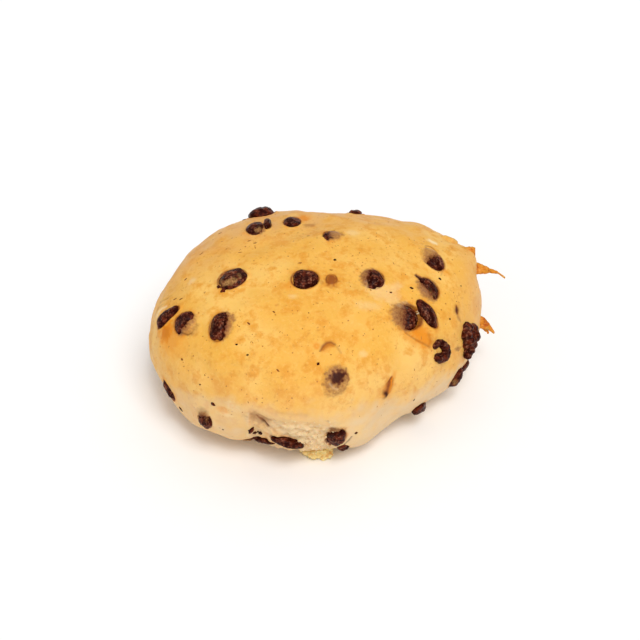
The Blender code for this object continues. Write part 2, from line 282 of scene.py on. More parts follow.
def makeCrustMaterial():
    look = crustLook
    material, tree, where, grains = startMaterial("goldenCrust", look)
    middle, fine = grains["middle"], grains["fine"]
    colour = mixColour(tree, spread(tree, grains["broad"], 0.42, 0.68), look["gold"], look["light"])
    colour = mixColour(tree, spread(tree, middle, 0.46, 0.66, 0.0, 0.9), colour, look["deep"])
    colour = mixColour(tree, spread(tree, fine, 0.50, 0.72, 0.0, 0.45), colour, look["light"])
    # painted shade and sheen on the far edges
    colour = paintOver(tree, colour, look, "tanEdgeShade")

    patches = spread(tree, grains["patches"], 0.38, 0.6)  # where the toasted spots gather
    spots = spread(tree, grains["spots"], 0.52, 0.70, 0.0, 0.6)
    colour = mixColour(tree, calculate(tree, "MULTIPLY", patches, spots), colour, look["toast"])
    cells = addNode(tree, "TexVoronoi", {"Vector": where, "Scale": look["fleckCells"], "Randomness": 1.0})
    chosen = addNode(tree, "SeparateColor", {"Color": cells.outputs["Color"]})
    few = spread(tree, chosen.outputs[0], 0.70, 0.75, 0.0, 0.8)
    ragged = calculate(tree, "ADD", cells.outputs["Distance"], spread(tree, fine, 0.3, 0.7, -0.1, 0.1))
    flecks = calculate(tree, "MULTIPLY", few, spread(tree, ragged, 0.07, 0.17, 1.0, 0.0))
    colour = mixColour(tree, flecks, colour, look["fleck"])

    pale = calculate(tree, "MULTIPLY", painted(tree, "pale"), spread(tree, middle, 0.2, 0.6, 0.7, 1.0))
    colour = mixColour(tree, pale, colour, look["pale"])
    crumb = painted(tree, "crumb")
    crumbTone = mixColour(tree, spread(tree, grains["crumb"], 0.5, 0.75), look["crumb"], look["crumbDeep"])
    colour = mixColour(tree, crumb, colour, crumbTone)
    # stains, then browning with painted shade lines and patches
    colour = paintOver(tree, colour, look, "stain", "scorchAndShade")

    thin = painted(tree, "veil")  # dough so thin that the chip under it shows
    speckled = spread(tree, grains["film"], 0.3, 0.7, -0.09, 0.09)
    speckled = calculate(tree, "MULTIPLY", speckled, spread(tree, thin, 0.05, 0.4))
    veil = calculate(tree, "ADD", thin, speckled)
    for name, low, high, most in look["filmSteps"]:
        colour = mixColour(tree, spread(tree, veil, low, high, 0.0, most), colour, look[name])
    # chocolate seen darkest through the dough with a painted shadow line, then pale spots and painted
    # highlights
    colour = paintOver(tree, colour, look, "sootAndShadow", "paleAndHighlight")

    sheen = spread(tree, middle, 0.35, 0.65, *look["roughness"])
    roughness = addNode(tree, "Mix", {0: crumb, 2: sheen, 3: look["crumbRoughness"]}).outputs[0]
    finishMaterial(tree, look, grains, Base_Color=colour, Roughness=roughness)
    return material


chocolateLook = {
    "dark": shade(44, 5, 1),
    "warm": shade(104, 40, 18),
    # painted highlight on the chips' upper ridges and on glinting grit
    "highlight": shade(172, 116, 88),
    "skin": shade(196, 146, 88),
    "roughness": (0.2, 0.4),
    "grains": {"lumps": (1.5, 3.0, 0.6), "grit": (0.4, 2.0, 0.6)},
    "bumps": {"lumps": 0.10, "grit": 0.04},
    "shader": {"Specular IOR Level": 0.06},
}


def makeChocolateMaterial():
    look = chocolateLook
    material, tree, _, grains = startMaterial("bakedChocolate", look)
    lumps, grit = grains["lumps"], grains["grit"]
    colour = mixColour(tree, spread(tree, lumps, 0.42, 0.70), look["dark"], look["warm"])
    # painted highlights on the upper ridges, then painted glints on the grit
    highlight = calculate(tree, "MULTIPLY", painted(tree, "ridge"), spread(tree, lumps, 0.4, 0.6, 0.1, 0.75))
    colour = mixColour(tree, highlight, colour, look["highlight"])
    colour = mixColour(tree, spread(tree, grit, 0.64, 0.76, 0.0, 0.5), colour, look["highlight"])
    skin = calculate(tree, "MULTIPLY", painted(tree, "skin"), spread(tree, grit, 0.35, 0.6, 0.35, 1.0))
    colour = mixColour(tree, skin, colour, look["skin"])
    roughness = spread(tree, lumps, 0.3, 0.7, *look["roughness"])
    finishMaterial(tree, look, grains, Base_Color=colour, Roughness=roughness)
    return material


# thin baked flakes, loose crumb and bran specks
flakeLook = {
    "gold": shade(216, 134, 34),
    "edge": shade(178, 88, 18),
    "light": shade(230, 160, 62),
    "root": shade(236, 180, 92),
    "grains": {"streaks": (1.0, 4.0, 0.6, 0.8), "blots": (1.6, 3.0)},
    "bumps": {"streaks": 0.15},
    "shader": {
        "Roughness": 0.5,
        "Specular IOR Level": 0.2,
        "Subsurface Weight": 0.2,
        "Subsurface Radius": (1.0, 0.45, 0.12),
        "Subsurface Scale": 0.002,
    },
}
crumbLook = {
    "gold": shade(238, 202, 146),
    "light": shade(244, 214, 166),
    "brown": shade(204, 146, 80),
    "grains": {"rough": (0.7, 4.0, 0.65), "blots": (2.4, 3.0, 0.6)},
    "bumps": {"rough": 0.2},
    "shader": {
        "Roughness": 0.8,
        "Subsurface Weight": 0.15,
        "Subsurface Radius": (1.0, 0.5, 0.2),
        "Subsurface Scale": 0.0012,
    },
}
lipLook = {
    **crumbLook,
    "gold": shade(250, 212, 128),
    "light": shade(254, 230, 164),
    "brown": shade(216, 152, 72),
}
speckLook = {
    "gold": shade(214, 142, 58),
    "brown": shade(120, 52, 18),
    "grains": {"blots": (0.5,)},
    "bumps": {},
    "shader": {"Roughness": 0.7, "Specular IOR Level": 0.15},
}


def makeFlakeMaterial():
    look = flakeLook
    material, tree, _, grains = startMaterial("thinFlake", look)
    colour = mixColour(tree, spread(tree, grains["streaks"], 0.45, 0.68), look["gold"], look["light"])
    colour = mixColour(tree, spread(tree, grains["blots"], 0.5, 0.66, 0.0, 0.9), colour, look["edge"])
    colour = mixColour(tree, painted(tree, "tip"), look["root"], colour)
    finishMaterial(tree, look, grains, Base_Color=colour)
    return material


def makeCrumbMaterial(name, look):
    material, tree, _, grains = startMaterial(name, look)
    colour = mixColour(tree, spread(tree, grains["rough"], 0.35, 0.65), look["gold"], look["light"])
    colour = mixColour(tree, spread(tree, grains["blots"], 0.55, 0.72, 0.0, 0.7), colour, look["brown"])
    finishMaterial(tree, look, grains, Base_Color=colour)
    return material


def makeSpeckMaterial():
    look = speckLook
    material, tree, _, grains = startMaterial("branSpeck", look)
    colour = mixColour(tree, painted(tree, "darkness"), look["gold"], look["brown"])
    colour = mixColour(tree, spread(tree, grains["blots"], 0.4, 0.7, 0.0, 0.4), colour, look["brown"])
    finishMaterial(tree, look, grains, Base_Color=colour)
    return material


# dough body, with a plan radius every 30 degrees from +X
dough = {
    "planRadii": (47.0, 49.5, 42.8, 39.7, 44.8, 47.6, 51.9, 51.6, 48.4, 43.9, 39.8, 41.0),
    "belt": 22.0,
    "crown": 26.6,
    "shoulder": 25.4,
    "crownSpread": 3.0,
    "tuck": 24.0,
    "powers": {"shoulder": 0.9, "dome": 0.95, "tuck": 0.5, "foot": 0.8},
    "waves": ((28.0, 0.6), (11.0, 0.25)),  # wave length and height
    "skin": ((4.5, 0.06), (1.8, 0.03)),
    "fineness": 7,
    "planFineness": 6,
}
swellings = (  # right, up, half width, height
    (45.0, 18.5, 6.5, 1.8),
    (-28.5, 26.0, 8.0, 1.0),
    (-46.5, 13.5, 8.0, -1.2),
    (-37.0, -31.5, 6.0, 1.4),
    (-20.5, -36.0, 5.0, -1.6),
    (12.0, -35.5, 5.0, 1.5),
    (21.5, -29.5, 4.5, -1.5),
    (42.9, 20.0, 4.5, 1.4),
    (48.9, 3.0, 6.0, -0.7),
)
tear = {
    "left": -21.3,
    "right": 6.0,
    "top": -28.0,
    "slope": -0.12,
    "edge": 0.4,
    "fade": 3.0,
    "depth": 0.9,
    "crumb": ((4.2, 0.5),),
    "fineCrumb": ((1.9, 0.30), (0.9, 0.16)),
    "crumbFade": (-0.6, 1.2),
    "groove": ((-20.5, -28.6), (-8.0, -36.6)),
    "grooveWidth": 1.3,
    "grooveDepth": 0.9,
}


def planRadius(bearing):
    radii = dough["planRadii"]
    count = len(radii)
    total = 0.0
    for order in range(count // 2 + 1):
        weight = 1.0 if order in (0, count // 2) else 2.0
        for number, radius in enumerate(radii):
            total = total + weight * radius * np.cos(order * (bearing - number * math.tau / count))
    return total / count


def doughForm(directions):
    powers = dough["powers"]
    x, y, z = directions.T
    bearing = np.arctan2(y, x)
    across = np.hypot(x, y)
    height = np.abs(z)
    share = np.where(z >= 0.0, across ** powers["shoulder"], across ** powers["tuck"])
    dome = dough["shoulder"] + (dough["crown"] - dough["shoulder"]) * np.exp(-dough["crownSpread"] * share)
    upper = dough["belt"] + dome * height ** powers["dome"]
    lower = np.maximum(0.0, dough["belt"] - dough["tuck"] * height ** powers["foot"])
    reach = planRadius(bearing) * share
    level = np.where(z >= 0.0, upper, lower)
    return np.stack((reach * np.cos(bearing), reach * np.sin(bearing), level), axis=1)


def distanceToLine(right, up, start, end):
    run = np.array(end) - np.array(start)
    share = np.clip(((right - start[0]) * run[0] + (up - start[1]) * run[1]) / (run @ run), 0.0, 1.0)
    return np.hypot(right - start[0] - run[0] * share, up - start[1] - run[1] * share), share


def tearShare(right, up):
    top = tear["top"] + tear["slope"] * (right - tear["left"])
    leftSide = smoothStep(tear["left"] - tear["edge"], tear["left"] + tear["edge"], right)
    rightSide = 1.0 - smoothStep(tear["right"] - tear["fade"], tear["right"], right)
    return leftSide * rightSide * smoothStep(0.0, tear["fade"], top - up)


def crumbShare(right, up):  # 1 where the torn face is crumbly, 0 below the groove, where it is smooth
    (startRight, startUp), (endRight, endUp) = tear["groove"]
    run = math.hypot(endRight - startRight, endUp - startUp)
    above = ((right - startRight) * (startUp - endUp) + (up - startUp) * (endRight - startRight)) / run
    return smoothStep(*tear["crumbFade"], above)


def relief(points):
    height = wavesOf(points, dough["waves"] + dough["skin"])
    right, up = placeInView(points)
    for middleRight, middleUp, halfWidth, size in swellings:
        height += size * bell(np.hypot(right - middleRight, up - middleUp) / halfWidth)
    rough = wavesOf(points, tear["crumb"]) - tear["depth"]
    rough += wavesOf(points, tear["fineCrumb"]) * crumbShare(right, up)
    away, _ = distanceToLine(right, up, *tear["groove"])
    groove = tear["grooveDepth"] * bell(away / tear["grooveWidth"])
    return height + np.where(points[:, 1] < 0.0, tearShare(right, up) * rough - groove, 0.0)


# chips: right, up, length, width, turn of the length and share that is sunk; where dough lies over part of
# one, the side it lies on (degrees anticlockwise from the right), where it starts (-1 covers the whole chip)
# and how dark it shows
noFilm = (0, 2.0, 0.0)
frontChips = (
    (-17.4, 31.6, 8.0, 5.0, 12, -0.05),
    (-19.3, 27.4, 5.7, 4.1, 20, 0.25, 0, 0.75, 0.6),
    (-15.8, 28.2, 3.2, 2.4, -90, -0.40),
    (-8.4, 29.3, 5.1, 3.9, 10, 0.25),
    (3.7, 25.2, 5.2, 3.3, 0, 0.50, 0, -0.40, 0.45),
    (10.8, 31.9, 4.5, 3.0, 0, 0.20),
    (-26.4, 12.3, 8.4, 5.4, 25, 0.40),
    (-4.5, 12.2, 7.8, 5.7, 0, 0.30),
    (15.6, 12.3, 6.9, 5.4, -25, 0.40, 165, 0.25, 0.5),
    (33.8, 18.2, 8.1, 4.9, -72, 0.40, 112, 0.10, 0.28),
    (32.4, 9.3, 7.4, 5.2, -60, 0.45, 215, 0.20, 0.5),
    (25.5, 0.9, 8.1, 7.4, 0, 0.40, 180, 0.0, 0.6),
    (32.3, 1.8, 9.2, 3.8, -55, 0.30),
    (43.9, -13.9, 4.4, 2.6, 75, 0.10),
    (41.4, -17.7, 6.8, 3.3, 62, 0.10),
    (30.7, -28.0, 5.0, 4.0, 28, -0.30),
    (-45.1, -21.0, 6.6, 2.2, -64, 0.45),
    (-34.5, -30.1, 4.7, 4.1, 70, 0.35, 80, 0.5, 0.5),
    (-17.2, -35.5, 7.2, 2.0, 14, 0.25),
    (-9.8, -36.6, 9.4, 3.0, -18, 0.15),
    (4.7, -35.3, 5.1, 5.0, -30, 0.30, 95, 0.80, 0.6),
    (6.9, -38.0, 3.3, 2.2, 10, 0.20),
    (4.8, -18.2, 8.4, 7.0, 80, 0.50, 260, -1.2, 0.42),
    (20.0, -21.0, 5.4, 1.8, 68, 0.45, 60, -1.2, 0.1),
    (-45.8, 0.9, 8.4, 2.5, 15, 0.15),
    (-40.7, -0.9, 6.8, 5.4, 75, 0.40, -35, 0.40, 0.4),
    (-29.8, -2.0, 8.3, 6.2, 85, 0.35, 5, 0.5, 0.5),
    (3.45, 12.0, 3.2, 3.2, 0, 0.50, 0, -1.2, 0.0),
)
skins = (  # thin dough left on chips: right, up, half length, half width, turn, how much
    (-27.2, 11.4, 2.1, 0.9, 22, 0.8),
    (-29.6, 11.2, 0.8, 0.9, 0, 0.35),
    (-24.2, 13.2, 0.5, 0.8, 30, 0.35),
    (-18.4, 27.0, 1.0, 0.8, 20, 0.6),
    (40.4, -18.6, 0.9, 0.7, 30, 0.45),
    (-33.9, -29.7, 0.5, 1.0, 0, 0.2),
    (33.2, 8.0, 1.3, 0.6, -60, 0.5),
)
chipShape = {
    "thickness": 0.62,  # of its length
    "thinnest": 3.0,
    "thickest": 4.4,
    "mostStretch": 1.8,  # of one that is seen edge on
    "lumps": ((1.5, 0.08),),
    "relief": ((2.6, 0.08), (1.0, 0.03)),
    "wrinkles": (1.1, 0.09),
    "wrinkleRun": (0.35, 1.0, 1.0),  # how they are drawn out along the chip
    "upperSide": (0.2, 0.8),
    "seedStep": 9.0,
    "underFilm": 1.0,
    "underEdge": 0.1,
    "frontFineness": 5,
    "farFineness": 4,
}
press = {  # how far out counts from a chip's middle, with its rim at 1
    "waves": 1.7,
    "filmEdge": 0.14,
    "filmWaves": 0.12,
    "filmSkin": 0.18,
    "softness": 0.05,
    "bulge": (1.5, 1.0),
    "opening": 0.5,
    "hole": (1.05, 0.93),
    "lip": (1.13, 0.13, 0.25),  # how far out, half width and height
    "thinRim": (0.9, 0.12, 0.25),
    "darkEdge": (-0.34, -0.14),
    "veil": (1.42, 0.62),
    # brown ring round each chip, with painted contact shade at its rim
    "scorchAndShadeRing": (1.02, 0.10),
    "glow": (1.6, 1.0),
    "glowWaves": 5.0,
}
curledChip = (  # right, up, radius and lift along its curl
    (34.4, -7.8, 0.95, 0.1),
    (35.3, -6.9, 1.05, 0.2),
    (36.5, -7.1, 1.25, 0.2),
    (37.4, -8.3, 1.5, 0.2),
    (37.5, -9.8, 1.65, 0.2),
    (36.9, -10.9, 1.7, 0.2),
    (35.9, -11.4, 1.6, 0.2),
    (35.0, -11.2, 1.25, 0.1),
)
lumpyCluster = (  # right, up, radius and how far ahead of the anchor, towards the viewer
    (43.5, -2.3, 1.8, 0.6),
    (45.6, -2.7, 1.8, -1.4),
    (44.9, -2.4, 1.2, 1.9),
    (43.9, -4.5, 1.9, 2.2),
    (46.2, -4.8, 2.0, -0.4),
    (44.0, -4.6, 1.7, -2.4),
    (46.8, -5.2, 1.2, 0.8),
    (43.9, -7.0, 1.8, 1.0),
    (45.5, -7.2, 1.8, -1.6),
    (45.2, -6.4, 1.3, 3.0),
    (44.4, -9.1, 1.8, 0.0),
    (45.2, -9.0, 1.4, 2.2),
    (44.3, -10.5, 1.4, 1.0),
)
melted = {
    "between": 3,  # balls added between each two along the curl
    "voxel": 0.2,
    "smoothings": 4,
    "relief": ((1.7, 0.10), (0.9, 0.05)),
    "anchor": (44.0, -6.3),
    "follows": 0.3,  # how far a ball of the cluster keeps to the dough behind it
    "stands": 2.4,
}
farChips = {
    "seed": 7,
    "rows": ((10.0, 7), (22.0, 6), (33.0, 5)),
    "bearings": (0.0, 180.0),
    "scatter": 3.0,
    "lengths": (5.6, 8.4),
    "widths": (0.6, 0.95),
    "sunk": (0.3, 0.6),
    "film": (5.0, -0.6, 0.5, 0.7),  # turns, first start, step of the start, darkness
}


def sightLine(right, up):
    return (viewMiddle + viewRight * right + viewUp * up - viewEye).normalized()


def spotOn(surface, right, up):
    along = sightLine(right, up)
    place, normal, _, _ = surface.ray_cast(viewEye, along)
    if place is None:  # past the edge: the nearest place on the dough
        steps = [viewEye + along * (view["distance"] + ahead) for ahead in range(*view["pastEdge"])]
        place, normal, _, _ = min(map(surface.find_nearest, steps), key=lambda found: found[3])
    return place, normal


def frameOn(place, normal, turn):
    wanted = viewRight * math.cos(turn) + viewUp * math.sin(turn)
    along = (wanted - normal * wanted.dot(normal)).normalized()
    made = Matrix((along, normal.cross(along), normal)).transposed().to_4x4()
    made.translation = place
    return made


def axesOf(made):  # its place, then the directions along, across and out of the surface
    return (np.array(made.col[number].to_3d()) for number in (3, 0, 1, 2))


def stretchToShow(made, number):  # how much longer a length on the surface is than it looks
    shown = math.sqrt(max(0.0, 1.0 - made.col[number].to_3d().dot(toViewer) ** 2))
    return 1.0 / max(shown, 1.0 / chipShape["mostStretch"])


def chipThickness(length):
    return min(chipShape["thickest"], max(chipShape["thinnest"], chipShape["thickness"] * length))


def rimShare(sunk):  # a chip's width where it leaves the dough, as a share of its widest
    return math.sqrt(1.0 - max(0.0, sunk) ** 2)


def hiddenFromFront(surface, place, normal, size):
    top = place + normal * size / 2.0
    seen, _, _, distance = surface.ray_cast(viewEye, (top - viewEye).normalized())
    return seen is not None and distance < (top - viewEye).length - size


def planFrontChips(surface):
    for number, (right, up, length, width, turn, sunk, *film) in enumerate(frontChips):
        filmTurn, filmFrom, veil = film or noFilm
        made = frameOn(*spotOn(surface, right, up), math.radians(turn))
        rim = rimShare(sunk)
        halves = (
            length / 2.0 * stretchToShow(made, 0) / rim,
            width / 2.0 * stretchToShow(made, 1) / rim,
            chipThickness(length) / 2.0,
        )
        film = (math.radians(filmTurn - turn), filmFrom, veil)
        yield dict(frame=made, halves=halves, sunk=sunk, film=film, seed=number, front=True)


def planFarChips(surface):
    draw = random.Random(farChips["seed"])
    low, high = farChips["bearings"]
    filmTurns, filmFrom, filmStep, veil = farChips["film"]
    for height, count in farChips["rows"]:
        for number in range(count):
            share = (number + draw.uniform(0.25, 0.75)) / count
            bearing = math.radians(low + (high - low) * share)
            level = height + draw.uniform(-farChips["scatter"], farChips["scatter"])
            turn = draw.uniform(0.0, math.pi)
            length = draw.uniform(*farChips["lengths"])
            width = length * draw.uniform(*farChips["widths"])
            sunk = draw.uniform(*farChips["sunk"])
            outwards = Vector((math.cos(bearing), math.sin(bearing), 0.0))
            start = outwards * view["distance"] + Vector((0.0, 0.0, level))
            place, normal, _, _ = surface.ray_cast(start, -outwards)
            if hiddenFromFront(surface, place, normal, length):
                made = frameOn(place, normal, turn)
                halves = (length / 2.0, width / 2.0, chipThickness(length) / 2.0)
                film = (turn * filmTurns, filmFrom + filmStep * (number % 5), veil)
                yield dict(frame=made, halves=halves, sunk=sunk, film=film, seed=count + number, front=False)


def pastFilmEdge(chip, u, v):  # how far past its film's edge a place on a chip lies, in half widths
    a, b, _ = chip["halves"]
    turn, start, _ = chip["film"]
    return u / a * math.cos(turn) + v / b * math.sin(turn) - start


def aroundChip(points, chip):  # which points are near, their places in its frame, and how far out they are
    place, along, across, normal = axesOf(chip["frame"])
    a, b, c = chip["halves"]
    near = np.nonzero(((points - place) ** 2).sum(axis=1) < (2.0 * a + 1.0) ** 2)[0]
    offset = points[near] - place
    u, v, w = offset @ along, offset @ across, offset @ normal
    near, u, v, w = (values[w > -1.5 * c] for values in (near, u, v, w))
    return near, u, v, w, np.hypot(u / a, v / b) / rimShare(chip["sunk"])


def ringAt(out, place, half, height=1.0):
    return height * bell((out - place) / half)


def pressChips(points, paint, chips):
    for chip in chips:
        near, u, v, w, out = aroundChip(points, chip)
        _, _, _, normal = axesOf(chip["frame"])
        _, start, strength = chip["film"]
        inside = out * rimShare(chip["sunk"])
        top = chip["halves"][2] * (np.sqrt(np.maximum(0.0, 1.0 - inside**2)) - chip["sunk"])
        wobble = wavesAt(points[near], press["waves"])
        ahead = pastFilmEdge(chip, u, v)
        wavy = ahead + press["filmWaves"] * wobble
        cover = smoothStep(-press["filmEdge"], press["filmEdge"], wavy)
        uncovered = 1.0 - cover
        gap = top + press["filmSkin"] - w
        raised = 0.5 * (gap + np.sqrt(gap * gap + press["softness"]))
        bulge = cover * raised * smoothStep(*press["bulge"], out)
        opened = uncovered * smoothStep(*press["hole"], out + 0.03 * wobble)
        hole = opened * np.minimum(0.0, top - press["opening"] - w)
        lip = uncovered * ringAt(out, *press["lip"])
        points[near] += np.outer(bulge + hole + lip, normal)
        glowWaves = wavesAt(points[near], press["glowWaves"])

        edge = 0.0  # the darker line where a film starts, on the lighter films
        if start > -1.0:
            edge = np.exp(-np.maximum(0.0, ahead + 0.1) / 0.25) * (1.0 - strength) * min(1.0, 2.0 * strength)
        rim = strength * ringAt(out, *press["thinRim"])
        thin = strength * (1.0 - 0.35 * smoothStep(0.0, 1.5, ahead)) + np.maximum(edge, rim)
        veil = smoothStep(*press["darkEdge"], wavy) * thin * smoothStep(*press["veil"], out + 0.08 * wobble)
        layOn(paint["veil"], near, veil)
        # browning and painted contact shade round the chip's rim
        layOn(paint["scorchAndShade"], near, uncovered * ringAt(out, *press["scorchAndShadeRing"]) * (0.8 + 0.2 * wobble))
        glow = uncovered * smoothStep(*press["glow"], out) * smoothStep(0.2, 1.0, glowWaves + 0.4)
        layOn(paint["stain"], near, 0.5 * glow)


def ringLine(right, up, radius, half):
    turns = [math.tau * number / 12 for number in range(13)]
    return tuple((right + radius * math.cos(turn), up + radius * math.sin(turn), half) for turn in turns)


# marks on the front, by what they paint: points of a line (right, up, half width), depth, how much
marks = {
    "stain": (
        (((0.7, -9.2, 0.4), (1.4, -8.2, 0.75), (2.6, -7.6, 0.85), (3.9, -7.8, 0.5)), -0.2, 0.8),
        (ringLine(-1.05, -7.8, 0.6, 0.4), 0.12, 0.7),
        (ringLine(-29.0, -27.2, 0.9, 0.28), 0.1, 0.5),
        (ringLine(-26.2, -25.6, 0.7, 0.22), 0.08, 0.35),
        (((-21.1, -27.8, 0.4), (-21.2, -31.4, 0.4)), 0.1, 0.3),
        (((21.7, -17.4, 0.5), (20.9, -19.4, 1.2), (20.2, -21.6, 1.3)), 0.0, 1.0),
    ),
    "scorchAndShade": (
        (((41.0, 4.1, 0.5), (41.2, 3.0, 1.1), (41.3, 2.0, 0.6)), 0.15, 1.0),
        (((41.2, 2.4, 0.6), (41.5, 0.9, 0.7), (42.2, -0.3, 0.4)), 0.08, 0.5),
        (
            ((0.2, -9.2, 0.3), (0.9, -7.9, 0.5), (2.0, -6.9, 0.5), (3.3, -6.7, 0.45), (4.6, -7.4, 0.3)),
            0.2,
            0.8,
        ),
        (((0.9, -9.0, 0.4), (1.6, -8.0, 0.6), (2.8, -7.4, 0.6), (4.1, -7.7, 0.4)), 0.0, 0.45),
        (((5.1, -8.0, 0.35), (6.3, -9.9, 0.3)), 0.1, 0.35),
        (ringLine(3.45, 12.0, 1.6, 0.35), 0.15, 0.85),
        # painted shadow of the lifted dough edge beside the chip
        (((-49.4, 1.6, 0.5), (-48.6, 3.4, 0.5), (-46.8, 4.8, 0.3)), 0.06, 0.35),
        (((-48.0, 5.2, 0.35), (-45.6, 6.6, 0.35)), 0.15, 0.4),
        (((-46.6, 6.0, 0.35), (-44.4, 7.4, 0.35)), 0.15, 0.3),
        (((25.8, -3.9, 0.25), (29.0, -6.0, 0.35), (33.0, -8.1, 0.4)), 0.2, 0.45),
        (((32.6, -4.2, 0.5), (33.2, -6.2, 0.7), (33.0, -7.7, 0.5)), 0.0, 0.3),
        (((-20.8, -28.3, 0.8), (-18.9, -28.9, 1.0), (-17.2, -29.6, 0.8), (-14.8, -30.1, 0.6)), 0.15, 0.55),
        (((-19.0, -28.8, 0.5), (-17.3, -30.0, 0.7), (-15.8, -31.6, 0.5)), 0.25, 0.9),
        (((-15.4, -31.8, 0.4), (-13.6, -33.2, 0.5), (-11.4, -35.2, 0.5), (-6.0, -36.8, 0.3)), 0.2, 0.4),
        (((-13.2, -27.7, 0.8), (-10.2, -28.2, 0.6), (-4.0, -28.6, 0.7)), 0.1, 0.12),
        (((-4.2, -35.6, 0.2), (-3.4, -35.7, 0.25), (-2.9, -36.6, 0.2)), 0.2, 0.7),
        (((-4.2, -35.6, 0.2), (-4.3, -36.9, 0.2)), 0.2, 0.6),
        (((-34.5, -12.9, 0.6), (-23.1, -13.4, 0.9), (-17.4, -15.0, 0.6)), 0.04, 0.07),
        (((-31.5, -15.9, 0.6), (-20.1, -16.6, 0.8)), 0.03, 0.06),
        (((36.3, 13.3, 0.25), (37.0, 16.5, 0.3), (34.4, 20.6, 0.25)), -0.25, 0.35),
        (((21.5, -17.2, 0.35), (20.2, -19.4, 0.5), (19.2, -21.8, 0.6)), 0.25, 0.9),
        (((22.0, -17.6, 0.25), (21.6, -19.4, 0.3), (21.1, -21.4, 0.3)), 0.1, 0.45),
        (((31.8, 22.3, 0.3), (33.2, 22.0, 0.3), (35.0, 20.2, 0.3), (36.7, 17.6, 0.3)), 0.1, 0.75),
        (((31.8, 22.0, 0.3), (31.2, 20.2, 0.3), (31.6, 18.6, 0.3)), 0.05, 0.5),
    ),
    "sootAndShadow": (
        (((1.0, 25.2, 0.4), (2.4, 26.2, 0.55), (4.2, 26.9, 0.3)), 0.4, 1.0),
        (((1.0, 25.2, 0.4), (2.2, 24.2, 0.55), (3.7, 23.8, 0.3)), 0.3, 0.9),
        (((41.1, 3.7, 0.3), (41.2, 3.0, 0.7), (41.3, 2.3, 0.3)), 0.1, 0.8),
        (((-41.2, -4.0, 0.25), (-39.6, -4.5, 0.3), (-38.4, -3.9, 0.25)), 0.05, 0.55),
        (((28.9, 13.5, 0.3), (29.6, 12.7, 0.5), (30.6, 11.7, 0.4)), 0.3, 0.85),
        (((-17.0, -30.4, 0.4), (-15.7, -31.6, 0.5)), 0.25, 0.75),
        # painted shadow line under the edge of the dough
        (((7.3, -37.2, 0.2), (8.6, -36.2, 0.22), (9.5, -35.0, 0.2)), 0.2, 0.8),
        (((19.3, -21.6, 0.6), (19.6, -22.8, 0.7)), 0.35, 1.0),
    ),
    "veil": (
        (((28.9, 13.4, 0.5), (30.2, 12.4, 0.6), (31.2, 11.2, 0.6)), 0.2, 0.8),
    ),
    "paleAndHighlight": (
        # painted highlight along the lifted dough rim beside the chip
        (((-48.9, 0.9, 0.4), (-48.4, 2.4, 0.55), (-47.5, 3.3, 0.45), (-46.0, 4.1, 0.3)), -0.08, 0.75),
        (((29.2, 1.8, 0.16), (30.6, 2.5, 0.18), (32.3, 2.6, 0.14)), -0.5, 1.0),
        (((29.4, 2.7, 0.12), (31.4, 2.2, 0.14)), -0.5, 0.9),
        (((-21.5, -28.0, 0.4), (-21.6, -34.8, 0.4)), -0.1, 0.45),
        # painted highlight along a curved rim below the covered chip
        (((2.6, -19.0, 0.3), (3.6, -20.3, 0.35), (5.0, -20.7, 0.3)), -0.05, 0.25),
    ),
}
